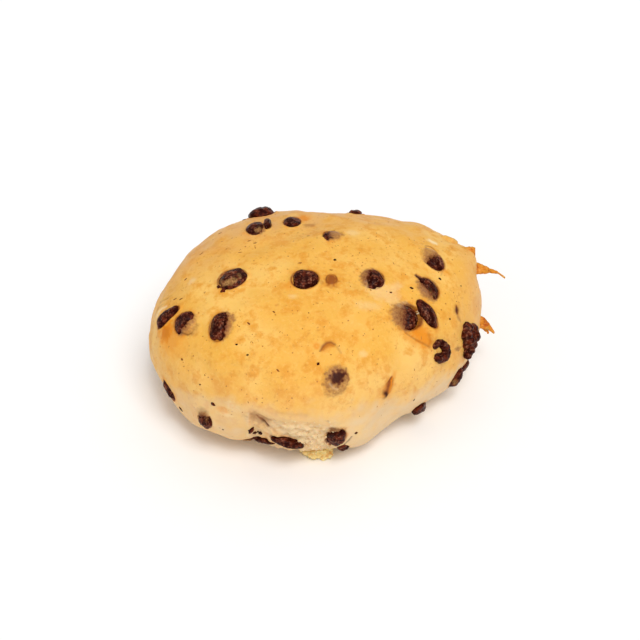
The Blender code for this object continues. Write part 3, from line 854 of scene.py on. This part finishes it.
# soft blots, by what they paint: right, up, half length, half width, turn, how much
blots = {
    "stain": (
        (-46.0, -3.8, 3.4, 2.2, 50, 0.95),
        (-44.4, -6.4, 4.2, 2.6, 20, 0.5),
        (30.4, -4.4, 4.6, 2.6, -48, 0.85),
        (27.4, -4.8, 3.6, 2.2, -30, 0.5),
        (29.6, 4.6, 1.2, 0.9, -50, 0.6),
        (-5.1, 30.6, 2.2, 1.0, -10, 0.8),
        (37.4, 14.2, 1.4, 0.9, -60, 0.45),
        (-9.0, 10.4, 1.8, 1.2, 20, 0.5),
        (-30.5, 9.0, 1.8, 1.2, 0, 0.3),
        (3.45, 12.0, 1.9, 1.8, 0, 0.8),
        (-43.0, -9.0, 3.0, 2.0, 20, 0.25),
        (-29.4, -26.9, 1.6, 1.0, 0, 0.35),
        (22.2, -16.6, 1.3, 0.6, 68, 0.5),
    ),
    "scorchAndShade": (
        (-46.4, -4.2, 1.8, 1.4, 40, 0.22),
        # painted shade darkening the left side
        (-44.5, 8.0, 3.6, 3.4, 0, 0.1),
        (-3.2, 28.4, 1.6, 0.7, 0, 0.4),
        (3.4, 11.8, 1.7, 1.6, 0, 0.82),
        (0.6, 11.4, 0.8, 0.6, 0, 0.3),
        (-18.4, -29.3, 3.2, 1.4, -28, 0.45),
        (-13.0, -33.0, 3.4, 0.4, -38, 0.12),
    ),
    "sootAndShadow": (
        (5.0, -17.1, 1.9, 1.4, 20, 0.85),
        (4.4, -33.3, 2.1, 0.9, 0, 0.42),
        (-35.1, -27.7, 1.8, 1.2, 10, 0.3),
    ),
    "veil": (
        (5.0, -17.1, 3.0, 2.3, 20, 0.75),
        (3.4, -21.4, 2.2, 1.8, 30, 0.2),
        (2.4, -19.4, 1.4, 1.2, 0, 0.4),
        (8.1, -17.0, 0.8, 1.3, 0, 0.5),
        (4.5, -33.2, 2.5, 1.1, 0, 0.4),
        (5.8, 25.6, 1.4, 1.0, 0, 0.3),
        (-26.9, 0.6, 1.3, 1.3, 40, 0.4),
        (-26.9, -1.6, 0.9, 2.2, 0, 0.25),
        (-38.7, -2.2, 2.2, 2.4, 40, 0.24),
        (-37.6, 0.6, 1.2, 1.6, 0, 0.16),
        (41.4, -8.6, 0.9, 1.0, 0, 0.35),
    ),
    "paleAndHighlight": (
        (12.9, -10.2, 1.2, 0.8, 0, 0.3),
        # painted highlights on film bulges, this one and the next
        (33.6, 23.5, 1.6, 0.6, -25, 0.8),
        (9.4, 26.3, 1.8, 0.8, 0, 0.3),
        (-38.4, 11.7, 1.3, 0.8, 0, 0.35),
        (-8.1, 7.2, 1.0, 0.6, 0, 0.3),
        (19.5, 7.8, 5.0, 2.0, -20, 0.3),
        (14.6, 4.4, 3.6, 1.2, 10, 0.22),
        (22.6, 9.8, 2.6, 1.2, 40, 0.3),
        (-28.2, -28.4, 1.6, 0.5, 0, 0.3),
        (-26.0, -26.0, 2.2, 1.4, 0, 0.25),
    ),
}


def ellipseShare(points, ahead, aside, halfLength, halfWidth):  # 1 inside a ragged ellipse, 0 outside
    out = np.hypot(ahead / halfLength, aside / halfWidth)
    return smoothStep(1.5, 0.5, out + 0.25 * wavesAt(points, 1.8))


def nearLine(points, start, end, reach):  # which points lie near a line, how far off, and how far along it
    low = np.minimum(start, end) - reach
    high = np.maximum(start, end) + reach
    near = np.nonzero(np.all((points > low) & (points < high), axis=1))[0]
    run = end - start
    share = np.clip((points[near] - start) @ run / (run @ run), 0.0, 1.0)
    return near, np.linalg.norm(points[near] - start - np.outer(share, run), axis=1), share


def drawBlots(surface, points, paint):
    for layer, rows in blots.items():
        for right, up, halfLength, halfWidth, turn, amount in rows:
            made = frameOn(*spotOn(surface, right, up), math.radians(turn))
            place, along, across, _ = axesOf(made)
            halfLength *= stretchToShow(made, 0)
            halfWidth *= stretchToShow(made, 1)
            offset = points - place
            near = np.nonzero((offset**2).sum(axis=1) < (2.5 * max(halfLength, halfWidth)) ** 2)[0]
            offset = offset[near]
            shape = ellipseShare(points[near], offset @ along, offset @ across, halfLength, halfWidth)
            layOn(paint[layer], near, amount * shape)


def drawMarks(surface, points, normals, paint):
    push = np.zeros(len(points))
    for layer, rows in marks.items():
        for line, depth, amount in rows:
            spots = [np.array(spotOn(surface, right, up)[0]) for right, up, _ in line]
            halves = [half for _, _, half in line]
            shape = np.zeros(len(points))
            for start, end, first, last in zip(spots, spots[1:], halves, halves[1:]):
                near, away, share = nearLine(points, start, end, 3.0 * max(first, last))
                layOn(shape, near, bell(away / (first + (last - first) * share)))
            push -= depth * shape
            paint[layer] = np.maximum(paint[layer], amount * shape)
    points += normals * push[:, None]


regions = {  # amounts, and the places between which each region fades
    "foot": {"height": 13.0, "frontRise": 9.0, "waves": ((18.0, 2.0), (4.0, 1.2)), "fade": (8.0, -5.0)},
    "band": {"amount": 0.6, "up": -29.0, "slope": -0.19, "waves": ((7.0, 1.2),), "fade": (2.2, -2.6)},
    "lowDown": {"amount": 0.2, "fade": (38.0, 24.0)},
    # the back and the right rim get painted shade and sheen, darker and greyer towards the far edges
    "back": {"amount": 0.75, "fade": (0.0, 34.0), "height": (20.0, 30.0)},
    "rightRimShade": {"amount": 0.6, "fade": (36.0, 50.0), "height": (4.0, 14.0)},
    "underside": 0.3,
}


def paintRegions(points, paint):
    x, y, z = points.T
    right, up = placeInView(points)
    towardsFront = np.maximum(0.0, -np.sin(np.arctan2(y, x)))
    foot, band, lowDown, back, rim = (regions[n] for n in ("foot", "band", "lowDown", "back", "rightRimShade"))
    top = foot["height"] + foot["frontRise"] * towardsFront**1.5 + wavesOf(points, foot["waves"])
    paleFoot = (0.9 + 0.15 * wavesAt(points, 6.0) + 0.006 * x) * smoothStep(*foot["fade"], z - top)
    above = up - band["up"] - band["slope"] * right + wavesOf(points, band["waves"])
    paleBand = band["amount"] * smoothStep(*band["fade"], above)
    paleBand = paleBand * smoothStep(6.0, -2.0, right) * smoothStep(-6.0, -16.0, y)
    paleLow = lowDown["amount"] * smoothStep(*lowDown["fade"], z) * (0.5 + 0.5 * towardsFront)
    paint["pale"] = np.clip(np.maximum(paleFoot, np.maximum(paleBand, paleLow)), 0.0, 1.0)
    torn = tearShare(right, up) * crumbShare(right, up)
    paint["crumb"] = np.where((y < 0.0) & (z > 0.0), torn, 0.0)
    # painted shade and sheen towards the back and the right rim
    backShade = back["amount"] * smoothStep(*back["fade"], y - 0.3 * x) * smoothStep(*back["height"], z)
    rimShade = rim["amount"] * smoothStep(*rim["fade"], x) * smoothStep(*rim["height"], z)
    paint["tanEdgeShade"] = np.clip(np.maximum(backShade, rimShade) * (0.8 + 0.4 * wavesAt(points, 9.0)), 0.0, 1.0)
    layOn(paint["scorchAndShade"], z <= 0.0, regions["underside"])


finer = {  # where the mesh is finer; round a chip, how far out counts from its middle, with its rim at 1
    "marks": 0.8,
    "tear": 1.0,
    "before": 32.0,
    "above": 0.5,
    "chips": 1.4,
    "rims": (0.84, 1.2),
    "films": 0.26,
}


def nearFeature(points, chips):
    right, up = placeInView(points)
    chosen = np.zeros(len(points), dtype=bool)
    for line, _, _ in (row for rows in marks.values() for row in rows):
        for start, end in zip(line, line[1:]):
            chosen |= distanceToLine(right, up, start[:2], end[:2])[0] < finer["marks"]
    inTear = (right > tear["left"] - finer["tear"]) & (right < tear["right"])
    chosen |= inTear & (up < tear["top"] + finer["tear"])
    chosen &= points[:, 1] < finer["before"]
    for chip in chips:
        near, _, _, _, out = aroundChip(points, chip)
        chosen[near[out < finer["chips"]]] = True
    return chosen & (points[:, 2] > finer["above"])


def nearRim(points, chips):
    chosen = np.zeros(len(points), dtype=bool)
    inner, outer = finer["rims"]
    for chip in chips:
        near, u, v, _, out = aroundChip(points, chip)
        filmEdge = np.abs(pastFilmEdge(chip, u, v)) < finer["films"]
        chosen[near[(filmEdge | (out > inner)) & (out < outer)]] = True
    return chosen & (points[:, 2] > finer["above"])


def shapeDough(mesh):
    directions = pointsOf(mesh)
    directions /= np.linalg.norm(directions, axis=1)[:, None]
    points = doughForm(directions)
    outwards = points - np.array((0.0, 0.0, dough["belt"]))
    outwards /= np.linalg.norm(outwards, axis=1)[:, None]
    points += np.where(points[:, 2] > 0.0, relief(points), 0.0)[:, None] * outwards
    points[:, 2] = np.maximum(0.0, points[:, 2])
    return points


def makeDough(fineness, chips=()):
    mesh = newBall(fineness)
    for isFine in (nearFeature, nearRim) if chips else ():
        chosen = isFine(shapeDough(mesh), chips)
        mesh.verts.index_update()
        edges = [edge for edge in mesh.edges if chosen[edge.verts[0].index] or chosen[edge.verts[1].index]]
        bmesh.ops.subdivide_edges(mesh, edges=edges, cuts=1)
        bmesh.ops.triangulate(mesh, faces=mesh.faces)
    movePoints(mesh, shapeDough(mesh))
    base = [face for face in mesh.faces if all(vertex.co.z == 0.0 for vertex in face.verts)]
    bmesh.ops.dissolve_faces(mesh, faces=base)
    bmesh.ops.triangulate(mesh, faces=mesh.faces)
    mesh.normal_update()
    return mesh


# chips as meshes
def chipMesh(chip):
    mesh = newBall(chipShape["frontFineness"] if chip["front"] else chipShape["farFineness"])
    unit = pointsOf(mesh)
    halves = np.array(chip["halves"])
    seed = np.array((chip["seed"], 0.0, 0.0))
    swell = 1.0 + wavesOf(unit + seed, chipShape["lumps"])
    points = unit * swell[:, None] * halves
    shifted = points + seed * chipShape["seedStep"]
    length, height = chipShape["wrinkles"]
    folds = 1.0 - 4.0 * np.abs(wavesAt(shifted * np.array(chipShape["wrinkleRun"]), length))
    upper = smoothStep(*chipShape["upperSide"], unit[:, 2])
    bumps = wavesOf(shifted, chipShape["relief"]) + height * np.maximum(-0.4, folds) * upper
    points += unit * bumps[:, None]
    ahead = pastFilmEdge(chip, points[:, 0], points[:, 1]) + chipShape["underEdge"]
    cover = smoothStep(-press["filmEdge"], press["filmEdge"], ahead)
    points[:, 2] -= chipShape["underFilm"] * cover * (unit[:, 2] > 0.0) + chip["sunk"] * halves[2]
    movePoints(mesh, points)
    bmesh.ops.transform(mesh, matrix=chip["frame"], verts=mesh.verts)
    # ridges on the upper side only: where the painted highlight goes
    return mesh, upper * smoothStep(0.2, 1.0, folds)


def skinOn(points):
    skin = np.zeros(len(points))
    right, up = placeInView(points)
    for middleRight, middleUp, halfLength, halfWidth, turn, amount in skins:
        cosine, sine = math.cos(math.radians(turn)), math.sin(math.radians(turn))
        ahead = (right - middleRight) * cosine + (up - middleUp) * sine
        aside = (up - middleUp) * cosine - (right - middleRight) * sine
        skin = np.maximum(skin, amount * ellipseShare(points, ahead, aside, halfLength, halfWidth))
    return skin


def makeChips(chips, material):
    whole = bmesh.new()
    paint = {"skin": [], "ridge": []}
    for chip in chips:
        mesh, ridge = chipMesh(chip)
        points = pointsOf(mesh)
        paint["ridge"].extend(ridge)
        paint["skin"].extend(skinOn(points) if chip["front"] else np.zeros(len(points)))
        addTo(whole, mesh)
    finishPiece(whole, "chocolateChips", material, paint)


def meltTogether(balls):  # (place, radius) of each
    rough = bmesh.new()
    for place, radius in balls:
        bmesh.ops.create_icosphere(rough, subdivisions=3, radius=radius, matrix=Matrix.Translation(place))
    data = asData(rough)
    lump = addObject("spare", data)
    remesh = lump.modifiers.new("remesh", "REMESH")
    remesh.mode = "VOXEL"
    remesh.voxel_size = melted["voxel"]
    fused = bpy.data.meshes.new_from_object(lump.evaluated_get(bpy.context.evaluated_depsgraph_get()))
    bpy.data.objects.remove(lump)
    bpy.data.meshes.remove(data)
    return fused


def ballsAlongCurl(surface):
    steps = melted["between"] + 1
    for ball, following in zip(curledChip, curledChip[1:] + curledChip[-1:]):
        for step in range(steps):
            share = step / steps
            between = (first + (second - first) * share for first, second in zip(ball, following))
            right, up, radius, lift = between
            place, normal = spotOn(surface, right, up)
            yield place + normal * lift, radius


def nearerThanMiddle(place):
    return (place - viewMiddle).dot(toViewer)


def placeAt(right, up, nearer):  # what shows at this spot of the view, this far ahead of its middle
    scale = 1.0 - nearer / view["distance"]
    return viewMiddle + (viewRight * right + viewUp * up) * scale + toViewer * nearer


def ballsOfCluster(surface):
    anchor = nearerThanMiddle(spotOn(surface, *melted["anchor"])[0])
    for right, up, radius, ahead in lumpyCluster:
        own = nearerThanMiddle(spotOn(surface, right, up)[0])
        wanted = placeAt(right, up, anchor + (own - anchor) * melted["follows"] + ahead)
        place, normal, _, _ = surface.find_nearest(wanted)
        height = max(0.0, min(melted["stands"], (wanted - place).dot(normal)))
        yield place + normal * height, radius


def makeMeltedChips(surface, material):
    whole = bmesh.new()
    for balls in (ballsAlongCurl(surface), ballsOfCluster(surface)):
        fused = meltTogether(balls)
        whole.from_mesh(fused)
        bpy.data.meshes.remove(fused)
    everyWay = {"use_axis_x": True, "use_axis_y": True, "use_axis_z": True}
    for _ in range(melted["smoothings"]):
        bmesh.ops.smooth_vert(whole, verts=whole.verts, factor=0.5, **everyWay)
    bmesh.ops.triangulate(whole, faces=whole.faces)
    points = pointsOf(whole)
    normals = normalsOf(whole)
    bumps = wavesOf(points, melted["relief"])
    movePoints(whole, points + normals * bumps[:, None])
    # the raised bumps carry the painted highlight
    paint = {"skin": np.zeros(len(points)), "ridge": smoothStep(0.0, 0.12, bumps) * 0.6}
    finishPiece(whole, "meltedChips", material, paint)


# crust flakes, crumb lip, crumbs, bits and specks
flakes = (  # thickness, then right, up and width along the middle
    (1.0, ((34.8, 24.0, 2.2), (37.4, 23.9, 3.0), (39.8, 23.1, 3.0), (41.0, 22.6, 1.7))),
    (1.0, ((39.6, 20.8, 2.4), (42.4, 20.5, 3.0), (44.8, 20.4, 3.4), (46.6, 20.4, 2.6))),
    (
        0.4,
        (
            *((44.6, 16.2, 4.4), (47.2, 15.6, 3.2), (49.4, 15.2, 2.1)),
            *((51.2, 14.9, 1.1), (53.4, 14.35, 0.4), (55.5, 12.8, 0.2)),
        ),
    ),
    (0.5, ((46.4, -0.2, 3.8), (48.4, -0.6, 3.5), (49.8, -1.4, 2.3), (50.9, -2.2, 1.2), (52.3, -3.7, 0.15))),
    (0.4, ((48.6, -1.4, 1.6), (49.8, -2.4, 1.4), (50.3, -3.2, 0.8), (50.5, -3.9, 0.12))),
)
flake = {
    "rooted": 3,  # points of its line that lie against the dough
    "wave": (3.0, 0.4),
    "curl": 0.04,
    "ragged": (1.6, 0.12),
    "cuts": (28, 6),
    "baked": (39.5, 45.5),
}
lip = {
    "place": (-1.2, -34.8, 1.3),
    "halves": (5.0, 2.8, 2.4),
    "lumps": ((1.2, 0.18),),
    "relief": ((2.4, 0.35), (1.1, 0.25), (0.5, 0.1)),
    "fineness": 6,
}
lump = {"waves": 1.3, "height": 0.5, "seedStep": 1.7}
crumbs = {
    "seed": 11,
    "count": 260,
    "inset": (0.6, 1.0),  # from the left and right of the tear
    "low": -38.5,
    "below": 2.2,
    "sizes": (0.3, 1.1),
    "widths": (0.3, 0.55),
    "heights": (0.25, 0.5),
    "sunk": 0.6,
    "large": 0.7,
}
bits = (  # shards of chocolate: right, up, length, width, turn
    (-0.45, -13.2, 0.9, 0.8, 0),
    (4.5, 18.0, 1.0, 0.7, 20),
    (21.3, 8.25, 0.8, 0.6, 0),
    (27.45, 9.6, 1.3, 0.7, -25),
    (39.0, 0.3, 0.7, 0.6, 0),
    (10.8, -33.9, 1.1, 0.8, 0),
    (-21.75, -10.5, 0.7, 0.6, 0),
    (-25.05, -7.35, 0.8, 0.6, 0),
    (-36.0, -19.35, 0.6, 0.5, 0),
    (28.2, -24.0, 0.9, 0.4, 50),
    (-29.1, -32.85, 0.6, 0.5, 0),
    (-32.1, -25.2, 1.6, 1.1, -45),
    (-30.4, 9.9, 1.2, 1.0, 0),
    (-29.0, 8.9, 2.0, 1.4, 10),
    (-41.7, -26.7, 1.8, 0.8, -40),
    (-20.7, -33.1, 2.3, 1.5, 75),
    (-19.6, -33.8, 1.4, 1.0, 10),
    (-18.7, -33.5, 0.7, 0.6, 0),
    (-17.8, -33.8, 1.3, 1.1, 20),
    (-22.8, 30.6, 1.4, 0.6, 40),
    (36.0, 12.3, 1.3, 0.7, -60),
    (42.3, 10.2, 0.6, 0.4, 0),
)
specks = {
    "seed": 5,
    "count": 340,
    "lengths": (0.3, 1.5),
    "lowest": -0.35,
    "sunk": 0.35,
    "named": (  # right, up, turn
        (-40.2, 12.3, 50),
        (-21.45, -1.05, -45),
        (-13.8, 2.4, -40),
        (-12.6, -15.15, -45),
        (-29.85, 26.1, 40),
        (-21.3, 23.7, 40),
        (-19.5, 23.1, 10),
        (-3.6, 25.2, -30),
        (-24.0, 20.25, 10),
        (-35.7, 19.8, 50),
        (-43.5, 6.3, 0),
        (-41.7, 6.3, 0),
        (-41.4, -11.85, -20),
        (-6.0, 17.1, 0),
        (3.3, 15.0, 0),
    ),
}


def readLine(line, along):  # right, up and width at these shares of the way, counted in points
    return [np.interp(along, range(len(line)), values) for values in zip(*line)]


def makeFlakes(surface, material):
    whole = bmesh.new()
    for thickness, line in flakes:
        rooted = line[: flake["rooted"]]
        nearer = min(nearerThanMiddle(spotOn(surface, right, up)[0]) for right, up, _ in rooted)
        mesh = bmesh.new()
        long, wide = flake["cuts"]
        bmesh.ops.create_grid(mesh, x_segments=long, y_segments=wide, size=1.0)
        grid = pointsOf(mesh)
        last = len(line) - 1
        along = (grid[:, 0] + 1.0) / 2.0 * last
        right, up, width = readLine(line, along)
        ahead = readLine(line, np.minimum(along + 0.1, last))
        behind = readLine(line, np.maximum(along - 0.1, 0))
        run = np.hypot(ahead[0] - behind[0], ahead[1] - behind[1])
        length, size = flake["ragged"]
        ragged = np.minimum(size, width / 3.0) * wavesAt(np.stack((right, up, along), axis=1), length, 7.0)
        side = grid[:, 1] * (width / 2.0 + ragged)
        right = right - side * (ahead[1] - behind[1]) / run
        up = up + side * (ahead[0] - behind[0]) / run
        out = right - line[0][0]
        length, size = flake["wave"]
        wave = size * wavesAt(np.stack((right, up, 0.0 * up), axis=1), length) * np.minimum(1.0, out / 2.0)
        depth = nearer + wave - flake["curl"] * out**2
        scale = 1.0 - depth / view["distance"]
        points = np.array(viewMiddle) + np.outer(right * scale, viewRight) + np.outer(up * scale, viewUp)
        movePoints(mesh, points + np.outer(depth, toViewer))
        bmesh.ops.solidify(mesh, geom=mesh.faces[:], thickness=thickness)
        bmesh.ops.triangulate(mesh, faces=mesh.faces)
        bmesh.ops.recalc_face_normals(mesh, faces=mesh.faces)
        addTo(whole, mesh)
    right, _ = placeInView(pointsOf(whole))
    finishPiece(whole, "crustFlakes", material, {"tip": smoothStep(*flake["baked"], right)})


def makeLip(material):
    mesh = newBall(lip["fineness"])
    unit = pointsOf(mesh)
    swell = 1.0 + wavesOf(unit, lip["lumps"])
    points = unit * swell[:, None] * np.array(lip["halves"]) + np.array(lip["place"])
    points += unit * wavesOf(points, lip["relief"])[:, None]
    points[:, 2] = np.maximum(0.0, points[:, 2])
    movePoints(mesh, points)
    finishPiece(mesh, "crumbLip", material)


def scatterLump(whole, spot, turn, halves, sunk, fineness, seed):  # adds one and says how many points it has
    place, normal = spot
    mesh = newBall(fineness)
    shift = Vector((seed * lump["seedStep"], 0.0, 0.0))
    for vertex in mesh.verts:
        swell = 1.0 + lump["height"] * noise.noise(vertex.co * lump["waves"] + shift)
        vertex.co = Vector(half * swell * value for half, value in zip(halves, vertex.co))
    made = frameOn(place - normal * sunk * halves[2], normal, turn)
    bmesh.ops.transform(mesh, matrix=made, verts=mesh.verts)
    count = len(mesh.verts)
    addTo(whole, mesh)
    return count


def makeCrumbs(surface, material):
    draw = random.Random(crumbs["seed"])
    whole = bmesh.new()
    fromLeft, fromRight = crumbs["inset"]
    for number in range(crumbs["count"]):
        right = draw.uniform(tear["left"] + fromLeft, tear["right"] - fromRight)
        up = draw.uniform(crumbs["low"], tear["top"] - crumbs["below"])
        size = draw.uniform(*crumbs["sizes"]) * draw.uniform(0.5, 1.0)
        halves = (size * 0.6, size * draw.uniform(*crumbs["widths"]), size * draw.uniform(*crumbs["heights"]))
        turn = draw.uniform(0.0, math.pi)
        place, normal, _, _ = surface.ray_cast(viewEye, sightLine(right, up))
        if place is not None and place.z > 1.0 and crumbShare(right, up) > 0.4:
            fineness = 2 if size > crumbs["large"] else 1
            scatterLump(whole, (place, normal), turn, halves, crumbs["sunk"], fineness, number)
    finishPiece(whole, "tornCrumbs", material)


def makeBits(surface, material):
    whole = bmesh.new()
    for number, (right, up, length, width, turn) in enumerate(bits):
        halves = (length / 2.0, width / 2.0, width * 0.45)
        scatterLump(whole, spotOn(surface, right, up), math.radians(turn), halves, 0.25, 3, number)
    nothing = np.zeros(len(whole.verts))
    finishPiece(whole, "chocolateBits", material, {"skin": nothing, "ridge": nothing})


def makeSpecks(surface, material):
    draw = random.Random(specks["seed"])
    whole = bmesh.new()
    darkness = []
    for number, (right, up, turn) in enumerate(specks["named"]):
        halves = (draw.uniform(0.5, 0.75), draw.uniform(0.18, 0.28), 0.15)
        count = scatterLump(whole, spotOn(surface, right, up), math.radians(turn), halves, 0.3, 2, number)
        darkness += [draw.uniform(0.6, 1.0)] * count
    middle = Vector((0.0, 0.0, dough["belt"]))
    for number in range(specks["count"]):
        bearing = draw.uniform(0.0, math.tau)
        level = draw.uniform(specks["lowest"], 1.0)
        wide = math.sqrt(1.0 - level * level)
        outwards = Vector((wide * math.cos(bearing), wide * math.sin(bearing), level))
        place, normal, _, _ = surface.ray_cast(middle + outwards * 200.0, -outwards)
        length = draw.uniform(*specks["lengths"]) * draw.uniform(0.3, 1.0)
        halves = (length / 2.0, min(length / 2.0, draw.uniform(0.08, 0.2)), 0.06)
        turn = draw.uniform(0.0, math.pi)
        count = scatterLump(whole, (place, normal), turn, halves, specks["sunk"], 1, number)
        darkness += [0.9 * draw.random() ** 3] * count
    finishPiece(whole, "branSpecks", material, {"darkness": darkness})


# stage, in metres
stage = {"floor": shade(253, 253, 253), "roughness": 0.9, "size": 6.0, "drop": 0.0001, "glow": 0.44}
lights = (  # name, azimuth, height and apparent width of the lamp in degrees, strength
    ("keyLight", 24.0, 60.0, 32.0, 1.50),
    ("glintLight", 12.0, 62.0, 8.0, 0.25),
    ("fillLight", -40.0, 25.0, 60.0, 0.22),
    ("topLight", 170.0, 65.0, 60.0, 0.35),
)


def makeFloor():
    mesh = bmesh.new()
    bmesh.ops.create_grid(mesh, x_segments=1, y_segments=1, size=stage["size"] / 2.0)
    bmesh.ops.translate(mesh, verts=mesh.verts, vec=(0.0, 0.0, -stage["drop"]))
    floor = addObject("floor", asData(mesh, "floor"))
    material = bpy.data.materials.new("paleFloor")
    material.use_nodes = True
    shader = material.node_tree.nodes["Principled BSDF"]
    shader.inputs["Base Color"].default_value = stage["floor"]
    shader.inputs["Roughness"].default_value = stage["roughness"]
    floor.data.materials.append(material)


def makeLight():
    world = bpy.data.worlds.new("studio")
    world.use_nodes = True
    background = world.node_tree.nodes["Background"]
    background.inputs["Color"].default_value = (1.0, 1.0, 1.0, 1.0)
    background.inputs["Strength"].default_value = stage["glow"]
    bpy.context.scene.world = world
    for name, azimuth, height, wide, strength in lights:
        data = bpy.data.lights.new(name, "SUN")
        data.angle = math.radians(wide)
        data.energy = strength
        lamp = addObject(name, data)
        turn, lift = math.radians(azimuth), math.radians(height)
        back = Vector((math.sin(turn) * math.cos(lift), -math.cos(turn) * math.cos(lift), math.sin(lift)))
        lamp.location = back
        lookFrom(lamp, back)
    bpy.context.scene.view_settings.view_transform = "Standard"


# make it all
crustMaterial = makeCrustMaterial()
chocolateMaterial = makeChocolateMaterial()
crumbMaterial = makeCrumbMaterial("looseCrumb", crumbLook)
lipMaterial = makeCrumbMaterial("goldenLip", lipLook)
print("materials made")

roughDough = makeDough(dough["planFineness"])
roughSurface = BVHTree.FromBMesh(roughDough)
chips = [*planFrontChips(roughSurface), *planFarChips(roughSurface)]
roughDough.free()
doughMesh = makeDough(dough["fineness"], chips)
plainSurface = BVHTree.FromBMesh(doughMesh)
doughPoints = pointsOf(doughMesh)
doughRaised = doughPoints[:, 2] > 0.0
print("dough formed")

paint = {name: np.zeros(len(doughPoints)) for name in ("veil", "scorchAndShade", "stain", "paleAndHighlight", "sootAndShadow")}
doughNormals = normalsOf(doughMesh)
paintRegions(doughPoints, paint)
drawBlots(plainSurface, doughPoints, paint)
drawMarks(plainSurface, doughPoints, doughNormals, paint)
pressChips(doughPoints, paint, chips)
doughPoints[:, 2] = np.where(doughRaised, np.maximum(0.0, doughPoints[:, 2]), 0.0)
movePoints(doughMesh, doughPoints)
print("chips pressed in")

pressedSurface = BVHTree.FromBMesh(doughMesh)
makeCrumbs(pressedSurface, crumbMaterial)
makeBits(pressedSurface, chocolateMaterial)
makeSpecks(pressedSurface, makeSpeckMaterial())
makeChips(chips, chocolateMaterial)
makeMeltedChips(plainSurface, chocolateMaterial)
makeFlakes(plainSurface, makeFlakeMaterial())
makeLip(lipMaterial)
finishPiece(doughMesh, "doughCrust", crustMaterial, paint)

makeFloor()
makeLight()
print("stage set")

bpy.context.view_layer.update()
